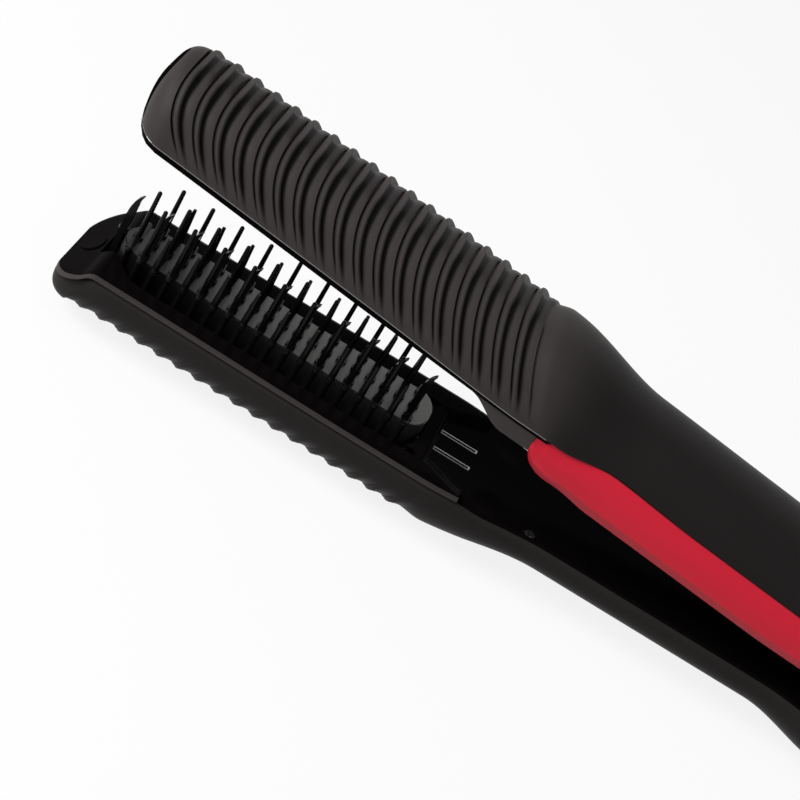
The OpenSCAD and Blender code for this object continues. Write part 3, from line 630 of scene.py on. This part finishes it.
class TONG_OT_materials(bpy.types.Operator):
    """Builds the effect groups and the finishes, and gives each CAD node its own"""
    bl_idname = "tong.materials"
    bl_label = "Finishes"

    def execute(self, context):
        build_moulded_grain()
        build_rubbed_edge()
        c = looks()
        # The satin covers and the red trims get a dark painted shade colour, mixed in by their meshes
        plastic("Satin cover", c.cover, 0.42, 3200, 0.000012, variation=0.08, wear=0.3, rubbed=1.6,
                specular=0.035, painted_shade=0.0015)
        plastic("Satin border", c.cover, 0.34, 2400, 0.000008, variation=0.06, wear=0.3, rubbed=1.6,
                specular=0.1)
        plastic("Polished black", c.gloss, 0.16, 900, 0.0000015, wear=0.25, specular=0.003)
        plastic("Comb black", c.comb, 0.12, 1500, 0.000002, wear=0.25, specular=0.09)
        plastic("Glint black", (0.05, 0.048, 0.047), 0.1, 1500, 0.000001, wear=0.1, coat=1.0,
                specular=1.0)
        plastic("Shaded black", c.gloss, 0.3, 900, 0.0000015, wear=0.25, specular=0.0)
        plastic("Red trim", c.trim, 0.3, 1400, 0.000003, variation=0.04, rubbed=1.1, wear=0.2,
                specular=0.12, painted_shade=0.004)
        plastic("Coated plate", c.plate, 0.34, 5200, 0.000006, variation=0.1, rubbed=1.2, wear=0.3,
                metallic=0.7)
        plastic("Silicone", (0.5, 0.46, 0.37), 0.6, 2400, 0.00001, rubbed=1.1)
        plastic("Dark steel", (0.06, 0.06, 0.065), 0.34, 2600, 0.000006, metallic=0.85)
        plastic("Bare steel", (0.55, 0.55, 0.56), 0.26, 4200, 0.000004, rubbed=1.2, metallic=1.0)
        plastic("Button black", c.cover, 0.3, 2200, 0.000004)
        plastic("Light guide", (0.6, 0.61, 0.58), 0.2, 900, 0.000002, rubbed=1.1)
        plastic("Board lacquer", (0.012, 0.07, 0.025), 0.25, 1500, 0.000006, rubbed=1.5)
        plastic("Mica", (0.55, 0.48, 0.34), 0.5, 1800, 0.00002, rubbed=1.2)
        plastic("Nylon", (0.62, 0.6, 0.55), 0.45, 1800, 0.000008, rubbed=1.1)
        plastic("Soft rubber", (0.012, 0.012, 0.012), 0.62, 2600, 0.00002)
        shade_front(bpy.data.materials["Coated plate"], NODES["lower_plate"])
        for name, node in NODES.items():
            node.data.materials.clear()
            node.data.materials.append(bpy.data.materials[FINISHES[name]])
        return {"FINISHED"}


# Covers

def low_ring_point(x0, k, n, level):
    """Point k of the lower cover's ring at the station x0, with n steps around and a lip at each end."""
    side = -1 if k < 0 else 1
    edge = -k if k < 0 else k - n if k > n else 0
    q = math.pi * min(n, max(0, k)) / n
    x = x0 + low_lean(x0) * (1 - math.sin(q)) ** 1.4
    cut = sizes().low_rib_rise * (1 - level) * smooth((math.sin(q) - 0.1) / 0.55)
    a = low_half(x) - low_nose(x0)
    mid = low_rim(x) - 1.6
    d = low_depth(x) - round_in(x0, TIP_X, 5) + mid
    if edge == 0:
        z = max(FLOOR_Z, mid - math.sin(q) ** 0.87 * (d - cut))
        return x, -power(math.cos(q), 0.87) * (a - cut), z
    rise, pull = ((0.32, 0.02), (0.6, 0.12), (1.5, 0.86), (1.6, 1.0))[edge - 1]
    return x, side * (a - pull), mid + rise


class TONG_OT_lower_cover(bpy.types.Operator):
    """Ribbed shell of the lower arm"""
    bl_idname = "tong.lower_cover"
    bl_label = "Lower cover"

    def execute(self, context):
        s = sizes()
        n, lip, plain = 56, 4, 2.2
        front = [TIP_X + 5.4 * (1 - math.cos(math.pi / 2 * i / 10)) for i in range(11)]
        stations = front + rib_stations(LOW_RIB_FIRST, plain) + spread(
            [(LOW_RIB_FIRST + s.rib_count * s.rib_pitch, 160, 40), (160, 212, 4), (212, 250, 20),
             (250, REAR_X, 4)])
        levels = [low_level(x) if x > plain else 1.0 for x in stations]

        def place(i, k):
            return lies(*low_ring_point(stations[i], k - lip, n, levels[i]))

        # Painted shade: the whole lower cover is darkened, and more in the notches of its ribs
        def shade(i, k):
            height = math.sin(math.pi * min(n, max(0, k - lip)) / n)
            return 0.54 + 0.36 * (1 - levels[i]) ** 3 * smooth((height - 0.1) / 0.5)

        bm = sheet(len(stations) - 1, n + 2 * lip, place, shade)
        tip = [v for v in bm.verts if abs(v.co.x - lies(TIP_X, 0, 0).x) < 1e-7]
        bmesh.ops.contextual_create(bm, geom=tip)
        bmesh.ops.recalc_face_normals(bm, faces=bm.faces)
        piece = finished("ribbed_lower_cover", bm, "Satin cover", "lower_arm",
                         ["lower_cover"])
        add_modifier(piece, "Wall", "SOLIDIFY", thickness=s.wall / 1000, offset=-1.0, use_even_offset=False)
        apply_modifiers(piece)
        return {"FINISHED"}


def up_strip(x):
    """Height above the border at which the satin cover starts, over the polished strip."""
    return 0.75 * step(108 - x, 0, 50)


def up_angle(x, height):
    """Angle on the ring at x of a point at a height above the base of the cover."""
    return math.asin(max(0.0, (up_base(x) + height - up_mid(x)) / up_deep(x)) ** 1.1)


def up_turn(x0, k, n, height):
    """Angle of point k of n on the ring at x0 that starts at a height above the base."""
    q0 = up_angle(up_seat(x0), height)
    return q0 + (math.pi - 2 * q0) * k / n


def up_point(x0, q, lift=0.0):
    """Point at an angle q on the ring at x0, sunk by the lift."""
    s = math.sin(q)
    x = x0 + up_lean(x0, s)
    cut = sizes().rib_rise * (1 - up_level(x0, s)) * smooth((s - 0.06) / 0.34)
    a = max(0.0, (up_half(x) - cut) * bow(x - UP_TIP_X, UP_NOSE) - lift)
    d = up_deep(x) - cut - lift
    dome = 1.25 * math.sin(math.pi * min(1.0, s) ** 0.9) * step(5 - x0, 0, 9)
    return x - dome, power(math.cos(q), 0.91) * a, up_mid(x) + s ** 0.91 * d


# Stations of the upper nose and, in front of them, of its cap

NOSE = (-2.45, -2.2, -1.9, -1.6, -1.3, -1.0, -0.7, -0.4, -0.1, 0.2, 0.5, 0.8, 1.1)
CAP = (-3.8, -3.77, -3.74, -3.68, -3.58, -3.45, -3.3, -3.15, -3.0, -2.8, -2.6, -2.4)


class TONG_OT_upper_cover(bpy.types.Operator):
    """Ribbed shell of the upper arm and handle"""
    bl_idname = "tong.upper_cover"
    bl_label = "Upper cover"

    def execute(self, context):
        s = sizes()
        n = 64
        stations = list(NOSE) + rib_stations(UP_RIB_FIRST, 1.3) + spread(
            [(UP_RIB_FIRST + s.rib_count * s.rib_pitch, 160, 42), (160, 210, 4), (210, 264, 16),
             (264, TAIL_X, 4)])

        def turn(i, k):
            return up_turn(stations[i], k, n, SEAM + up_strip(stations[i]))

        def place(i, k):
            return opened(*up_point(stations[i], turn(i, k)))

        # Painted shade: the grip behind the upper head is darkened, and so are the notches and rear flanks
        # of the ribs
        def shade(i, k):
            return max(0.68 * step(stations[i], 112, 138), up_painted_shade(stations[i], math.sin(turn(i, k))))

        bm = sheet(len(stations) - 1, n, place, shade)
        face_out(bm)
        piece = finished("ribbed_upper_cover", bm, "Satin cover", "handle", ["upper_cover"])
        add_modifier(piece, "Wall", "SOLIDIFY", thickness=s.wall / 1000, offset=-1.0, use_even_offset=False)
        apply_modifiers(piece)
        low, high = DECK_Z - 6, DECK_Z + 6
        deck = solid(stadium(234, 52, 7.05), low, high, opened)
        slot = solid(box(LOCK_X - 4.4, LOCK_X + 4.4 + LOCK_TRAVEL, -2.4, 2.4), low, high, opened)
        shaped(piece, [("DIFFERENCE", deck), ("DIFFERENCE", slot)])
        return {"FINISHED"}


class TONG_OT_upper_edge(bpy.types.Operator):
    """Polished cap at the tip of the upper arm, the strips along its lower edges, and the bow under it"""
    bl_idname = "tong.upper_edge"
    bl_label = "Upper edge"

    def execute(self, context):
        n = 48
        cap = sheet(len(CAP) - 1, n, lambda i, k: opened(
            *up_point(CAP[i], up_turn(CAP[i], k, n, SEAM), 0.06)))
        bmesh.ops.remove_doubles(cap, verts=cap.verts, dist=2e-6)
        face_out(cap)
        piece = finished("upper_nose_cap", cap, "Shaded black", "handle")
        add_modifier(piece, "Wall", "SOLIDIFY", thickness=0.0011, offset=-1.0, use_even_offset=False)
        apply_modifiers(piece)
        stations = CAP + NOSE + tuple(spread([(1.4, 20, 20), (20, 112, 46), (112, 123, 11)]))
        rows = 6
        for side, name in ((0, "near"), (1, "far")):
            def place(i, k):
                x0 = stations[i]
                q = up_angle(up_seat(x0), (up_strip(x0) + 0.05) * k / rows)
                bulge = 0.1 * math.sin(math.pi * k / rows) - 0.1
                return opened(*up_point(x0, math.pi - q if side else q, -bulge))

            strip = sheet(len(stations) - 1, rows, place)
            face_out(strip)
            piece = finished("upper_border_strip_" + name, strip, "Polished black", "handle")
            add_modifier(piece, "Wall", "SOLIDIFY", thickness=0.0008, offset=-1.0, use_even_offset=False)
            apply_modifiers(piece)
        stations = spread([(BOW_FRONT, BOW_REAR, 32)])

        def bowed(i, k):
            x = stations[i]
            deep = 0.06 + BOW_DEPTH * step(x, 104.8, 118)
            wide = up_half(x) - 0.5
            ring = [(-wide, 0), (-wide, -0.7 * deep), (-wide + 0.4, -0.94 * deep), (-wide + 1.1, -deep),
                    (wide - 1.1, -deep), (wide - 0.4, -0.94 * deep), (wide, -0.7 * deep), (wide, 0)]
            return opened(x, ring[k % 8][0], RIM_UP - 0.02 + ring[k % 8][1])

        bm = sheet(len(stations) - 1, 8, bowed)
        close_and_face_out(bm)
        finished("handle_bow", bm, "Satin border", "handle")
        return {"FINISHED"}


class TONG_OT_parting_beads(bpy.types.Operator):
    """Fine polished beads where the satin cover of the upper arm meets its polished strips"""
    bl_idname = "tong.parting_beads"
    bl_label = "Parting beads"

    def execute(self, context):
        stations = CAP[5:] + NOSE + tuple(spread([(1.4, 20, 20), (20, 112, 46), (112, 124, 11)]))
        for side, name in ((0, "near"), (1, "far")):
            def place(i, k):
                x0 = stations[i]
                q = up_angle(up_seat(x0), up_strip(x0) + 0.02 + 0.11 * (k - 1.5) / 1.5)
                return opened(*up_point(x0, math.pi - q if side else q, -0.1 * math.sin(math.pi * k / 3)))

            bead = sheet(len(stations) - 1, 3, place)
            face_out(bead)
            piece = finished("parting_bead_" + name, bead, "Glint black", "handle", angle=80)
            add_modifier(piece, "Wall", "SOLIDIFY", thickness=0.0002, offset=-1.0, use_even_offset=False)
            apply_modifiers(piece, angle=80)
        return {"FINISHED"}


def frame_section(x):
    """Half of the border's section at x, from under its outer edge to the middle of its top."""
    a, z = frame_half(x), low_face(x)
    return [(0, z - 1), (a - 0.7, z - 1), (a, z - 0.62), (a - 0.1, z - 0.46), (a - 0.9, z - 0.12),
            (a - 1.1, z - 0.03), (a - 1.25, z), (a * 0.8, z), (a * 0.6, z), (a * 0.3, z), (0, z)]


FRAME_NOSE = [TIP_X + 0.3 + 8 * (1 - math.cos(math.pi / 2 * i / 16)) for i in range(17)]


def frame_stations(end):
    return FRAME_NOSE + spread([(5.2, 14, 22)]) + spread([(16, 100, 21), (100, end, 14)])


class TONG_OT_lower_border(bpy.types.Operator):
    """Polished border of the lower head with the pit of its plate, and on its rim's rounded outer edges
    bands in the satin cover's colour, a painted highlight
    """
    bl_idname = "tong.lower_border"
    bl_label = "Lower border"

    def execute(self, context):
        stations = frame_stations(121)
        half = len(frame_section(10))
        ring = 2 * half - 2

        def place(i, k):
            x, section = stations[i], frame_section(stations[i])
            k = k % ring
            y, z = section[k] if k < half else section[ring - k]
            return lies(x, -y if k < half else y, z)

        bm = sheet(len(stations) - 1, ring, place)
        close_and_face_out(bm)
        piece = finished("polished_lower_border", bm, "Polished black", "lower_arm",
                         ["lower_frame"])
        far = mirrored([(x, border_half(x)) for x in spread([(PIT_END - 0.6, 131, 30)])])
        tub = solid(pit_outline(-1.4), PIT_FLOOR - 1.4, PIT_FLOOR + 4, lies)
        collar = solid([(max(9.0, x), y) for x, y in pit_outline(-1.4)], -5, -0.6, lies)
        shaped(piece, [("UNION", tub)])
        shaped(piece, [("UNION", collar)])
        shaped(piece, [("DIFFERENCE", solid(pit_outline(0), PIT_FLOOR, 12, lies))])
        shaped(piece, [("DIFFERENCE", solid(far, PANEL_Z - 0.6, 10, lies))])
        slope = math.atan(RAMP_SLOPE)

        def ramped(x, y, z):
            c, s = math.cos(slope), math.sin(slope)
            return lies(PLUG_X + x * c - z * s, y, low_face(PLUG_X) + x * s + z * c)

        shaped(piece, [("DIFFERENCE", solid(oval(0, 0, PLUG_RX, PLUG_RY), -0.7, 4, ramped))])
        sweep = [100.2, 101.5, 103, 104.5, 106, PIT_END - 0.05]
        lip = solid(mirrored([(x, 11.4 + 1.6 * step(x, 104.6, 106)) for x in sweep]), -0.9, -0.12, lies)
        turns = [math.pi / 2 * i / 30 for i in range(30)]
        plate = [(99 + 5.6 * math.sin(q), 13.2 * math.cos(q)) for q in turns]
        shaped(lip, [("DIFFERENCE", solid(mirrored([(90, 13.2)] + plate), -3, 3, lies))])
        fitted(lip, "plate_end_lip", "Polished black", "lower_arm")
        # Painted highlight: the rounded outer edge of the rim is covered by a band in the lighter satin
        # colour
        for side, name in ((-1, "near"), (1, "far")):
            chain = [(0.02, -0.66), (-0.07, -0.43), (-0.88, -0.08), (-1.14, 0.01), (-1.35, 0.035)]
            span = frame_stations(120.9)[2:]
            band = sheet(len(span) - 1, len(chain) - 1, lambda i, k: lies(
                span[i], side * (frame_half(span[i]) + chain[k][0]),
                low_face(span[i]) + chain[k][1] + 0.02))
            face_out(band, lambda face: face.normal.z > 0)
            strip = finished("lower_rim_band_" + name, band, "Satin cover", "lower_arm")
            add_modifier(strip, "Wall", "SOLIDIFY", thickness=0.00012, offset=-1.0, use_even_offset=False)
            apply_modifiers(strip)
        return {"FINISHED"}


def hollow(x, y):
    """Depth of the two soft hollows beside the panel's slots."""
    dx, dy = (x - 129) / 5.2, (abs(y) - 13.6) / 5.4
    return 0.22 * smooth(1.15 - math.hypot(dx, dy)) * step(134.4 - x, 0, 1.6)


class TONG_OT_lower_panel(bpy.types.Operator):
    """Polished panel behind the lower plate, with soft hollows, slots and screw holes"""
    bl_idname = "tong.lower_panel"
    bl_label = "Lower panel"

    def execute(self, context):
        stations = spread([(PIT_END + 0.1, 120.95, 44), (121.02, 138, 44), (138, 152, 14), (152, 212, 8),
                           (212, 254, 14), (254, 312, 4)])
        across = 88

        def place(i, k):
            x = stations[i]
            share = 2 * k / across - 1
            y = share * panel_half(x)
            gap = min(2.6 * (x - PIT_END), panel_half(x) - abs(y)) if x < 121 else 9.0
            rise = 1.32 * (1 - smooth(gap / 5.2))
            return lies(x, y, PANEL_Z - hollow(x, y) + rise)

        bm = sheet(len(stations) - 1, across, place)
        face_out(bm, lambda face: face.normal.z > 0)
        piece = finished("polished_lower_panel", bm, "Polished black", "lower_arm",
                         ["lower_panel"])
        add_modifier(piece, "Wall", "SOLIDIFY", thickness=0.0016, offset=-1.0, use_even_offset=False)
        apply_modifiers(piece)
        for side in (-1, 1):
            slot = box(SLOT_FRONT, SLOT_REAR, side * SLOT_Y - 0.5, side * SLOT_Y + 0.5)
            shaped(piece, [("DIFFERENCE", solid(slot, PANEL_Z - 0.9, 4, lies))])
            for x, y, r, deep, steps in SCREW_HOLES:
                hole = solid(oval(x, side * y, r, r, steps), PANEL_Z - deep, 4, lies)
                shaped(piece, [("DIFFERENCE", hole)])
        for side, name in ((-1, "near"), (1, "far")):
            y = side * SLOT_Y
            outer = box(SLOT_FRONT - 0.4, SLOT_REAR + 0.4, y - 0.85, y + 0.85)
            inner = box(SLOT_FRONT + 0.1, SLOT_REAR - 0.1, y - 0.42, y + 0.42)
            rim = solid(outer, PANEL_Z - 0.1, PANEL_Z + 0.22, lies)
            shaped(rim, [("DIFFERENCE", solid(inner, -5, 4, lies))])
            add_modifier(rim, "Round", "BEVEL", width=0.00014, segments=2)
            apply_modifiers(rim)
            fitted(rim, "slot_rim_" + name, "Glint black", "lower_arm")
        return {"FINISHED"}


# Painted shade at each point of the trim's section, in the order of trim_section: darker on the lower
# facet, and a dark line along the top edge

TRIM_PAINTED_SHADE = (0.3, 0.3, 0.38, 0.3, 0.02, 0.0, 0.0, 0.0, 0.95, 0.95, 0.5, 0.3)


def trim_section(x):
    """The trim's section at x, from under its lower edge and around its outside."""
    top = RIM_UP - 0.1 + (up_base(x) - RIM_UP) * step(x, FLANGE_END + 0.05, 130.9)
    nose = 1 - min(1.0, max(0.0, (x - TRIM_FRONT + 0.05) / TRIM_NOSE))
    low = (BASE_Z - 0.2 - 1.2 * step(x, 139, 150) + step(x, 204, 230)
           + 8.6 * (1 - math.sqrt(1 - nose * nose)))
    top -= 0.2 * step(x, 131, 134)
    h, a = top - low, up_half(x)
    f = min(1.0, h / 11)
    return [(a - 2.3 * f, low), (a - 1.5 * f, low), (a - 1.3 * f, low + 0.03 * h),
            (a - 0.08, top - 0.8 * h), (a + 0.12, top - 0.76 * h), (a + 0.2, top - 0.42 * h),
            (a + 0.14, top - 0.37 * h),
            (a - 0.75 * f, top - 0.03 * h), (a - 0.95 * f, top), (a - 2.6, top),
            (a - 2.6, top - 0.5 * h), (a - 2.5 * f, top - 0.84 * h)]


class TONG_OT_red_trims(bpy.types.Operator):
    """Red trims with soft facets on both sides of the handle"""
    bl_idname = "tong.red_trims"
    bl_label = "Red trims"

    def execute(self, context):
        front = [TRIM_FRONT + TRIM_NOSE * (1 - math.cos(math.pi / 2 * i / 14)) for i in range(15)]
        stations = front + spread([(136.3, 158, 36), (158, 212, 9), (212, 262, 26), (262, TAIL_X, 6)])
        sections = [trim_section(x) for x in stations]
        ring = len(TRIM_PAINTED_SHADE)
        for side, name in ((1, "left"), (-1, "right")):
            def place(i, k):
                y, z = sections[i][k % ring]
                return opened(stations[i], side * y, z)

            bm = sheet(len(stations) - 1, ring, place, lambda i, k: TRIM_PAINTED_SHADE[k % ring])
            close_and_face_out(bm)
            finished("red_trim_" + name + "_finish", bm, "Red trim", "handle",
                     ["red_trim_" + name], angle=30)
        return {"FINISHED"}


class TONG_OT_stage(bpy.types.Operator):
    """Floor, soft lamps, world and the photograph's camera"""
    bl_idname = "tong.stage"
    bl_label = "Stage"

    def execute(self, context):
        scene = context.scene
        scene.view_settings.view_transform = "Standard"
        add_floor()
        add_world(scene)
        add_lamps()
        add_camera(scene)
        return {"FINISHED"}


def shown_white(tree, shader, target, share):
    """Mixes a share of plain white in for what the camera, gloss and glass see directly."""
    rays = node_of(tree, "ShaderNodeLightPath", (-800, 400))
    first = node_of(tree, "ShaderNodeMath", (-600, 400), operation="MAXIMUM")
    second = node_of(tree, "ShaderNodeMath", (-400, 400), operation="MAXIMUM")
    seen = node_of(tree, "ShaderNodeMath", (-200, 400), operation="MULTIPLY")
    seen.inputs[1].default_value = share
    glow = node_of(tree, "ShaderNodeEmission" if target.bl_idname == "ShaderNodeOutputMaterial"
                   else "ShaderNodeBackground", (-200, 200))
    glow.inputs["Color"].default_value = tuple(looks().backdrop) + (1.0,)
    glow.inputs["Strength"].default_value = 1.0
    mix = node_of(tree, "ShaderNodeMixShader", (100, 200))
    tree.links.new(rays.outputs["Is Camera Ray"], first.inputs[0])
    tree.links.new(rays.outputs["Is Glossy Ray"], first.inputs[1])
    tree.links.new(first.outputs[0], second.inputs[0])
    tree.links.new(rays.outputs["Is Transmission Ray"], second.inputs[1])
    tree.links.new(second.outputs[0], seen.inputs[0])
    tree.links.new(seen.outputs[0], mix.inputs["Fac"])
    tree.links.new(shader, mix.inputs[1])
    tree.links.new(glow.outputs[0], mix.inputs[2])
    tree.links.new(mix.outputs[0], target.inputs["Surface"])


def add_floor():
    bm = bmesh.new()
    bmesh.ops.create_grid(bm, x_segments=8, y_segments=8, size=2.5)
    mesh = bpy.data.meshes.new("floor")
    bm.to_mesh(mesh)
    bm.free()
    floor = bpy.data.objects.new("floor", mesh)
    floor.location = (0, 0, -0.0002)
    bpy.context.scene.collection.objects.link(floor)
    material = bpy.data.materials.new("Pale floor")
    material.use_nodes = True
    shader = material.node_tree.nodes["Principled BSDF"]
    shader.inputs["Base Color"].default_value = (0.86, 0.86, 0.86, 1)
    shader.inputs["Roughness"].default_value = 0.9
    end = material.node_tree.nodes["Material Output"]
    shown_white(material.node_tree, shader.outputs[0], end, 0.86)
    mesh.materials.append(material)


def add_world(scene):
    world = bpy.data.worlds.new("Studio")
    world.use_nodes = True
    scene.world = world
    tree = world.node_tree
    soft = tree.nodes["Background"]
    soft.inputs["Color"].default_value = (1, 1, 1, 1)
    soft.inputs["Strength"].default_value = 0.1
    shown_white(tree, soft.outputs[0], tree.nodes["World Output"], 1.0)


# Lamps, as name, energy, size, place and aim, in watts and metres

LAMPS = (
    ("key", 11.5, 0.45, (-0.85, -0.3, 0.6), (-0.05, 0, 0.03)),
    ("top", 2.4, 0.8, (-0.1, -0.25, 1.0), (0.0, 0, 0.03)),
    ("side", 1.3, 0.9, (0.5, -0.9, 0.5), (0.02, 0, 0.03)),
    ("back", 0.8, 0.8, (-0.1, 0.9, 0.7), (0.0, 0, 0.03)),
)


def add_lamps():
    for name, energy, size, place, aim in LAMPS:
        lamp = bpy.data.lights.new(name, "AREA")
        lamp.energy = energy
        lamp.size = size
        piece = bpy.data.objects.new(name, lamp)
        piece.location = place
        piece.rotation_euler = (Vector(aim) - Vector(place)).to_track_quat("-Z", "Y").to_euler()
        bpy.context.scene.collection.objects.link(piece)


def add_camera(scene):
    azimuth, elevation, roll = (math.radians(a) for a in (2.37, 35.01, 32.85))
    forward = Vector((math.sin(azimuth) * math.cos(elevation), math.cos(azimuth) * math.cos(elevation),
                      -math.sin(elevation)))
    right = Vector((math.cos(azimuth), -math.sin(azimuth), 0))
    down = forward.cross(right)
    image_x = math.cos(roll) * right - math.sin(roll) * down
    image_y = math.sin(roll) * right + math.cos(roll) * down
    camera = bpy.data.cameras.new("photograph")
    camera.sensor_width = 36.0
    camera.lens = 88.74
    camera.clip_end = 20.0
    piece = bpy.data.objects.new("photograph", camera)
    turn = Matrix((image_x, -image_y, -forward)).transposed()
    piece.matrix_world = Matrix.Translation(lies(76.5, -437.1, 309.7)) @ turn.to_4x4()
    scene.collection.objects.link(piece)
    scene.camera = piece


class TONG_PT_sidebar(bpy.types.Panel):
    """Buttons of the pieces, in the sidebar"""
    bl_label = "Straightener tong"
    bl_idname = "TONG_PT_sidebar"
    bl_space_type = "VIEW_3D"
    bl_region_type = "UI"
    bl_category = "Tong"

    def draw(self, context):
        for operator in OPERATORS:
            self.layout.operator(operator.bl_idname)


OPERATORS = (TONG_OT_materials, TONG_OT_lower_cover, TONG_OT_lower_border, TONG_OT_lower_panel,
             TONG_OT_upper_cover, TONG_OT_upper_edge, TONG_OT_parting_beads, TONG_OT_red_trims,
             TONG_OT_stage)
CLASSES = (TongSizes, TongLooks) + OPERATORS + (TONG_PT_sidebar,)


def register():
    for cls in CLASSES:
        bpy.utils.register_class(cls)
    bpy.types.Scene.tong_sizes = bpy.props.PointerProperty(type=TongSizes)
    bpy.types.Scene.tong_looks = bpy.props.PointerProperty(type=TongLooks)


def unregister():
    del bpy.types.Scene.tong_looks
    del bpy.types.Scene.tong_sizes
    for cls in reversed(CLASSES):
        bpy.utils.unregister_class(cls)


def main():
    register()
    bpy.ops.tong.materials()
    bpy.ops.tong.lower_cover()
    bpy.ops.tong.lower_border()
    bpy.ops.tong.lower_panel()
    bpy.ops.tong.upper_cover()
    bpy.ops.tong.upper_edge()
    bpy.ops.tong.parting_beads()
    bpy.ops.tong.red_trims()
    bpy.ops.tong.stage()


if __name__ == "__main__":
    main()
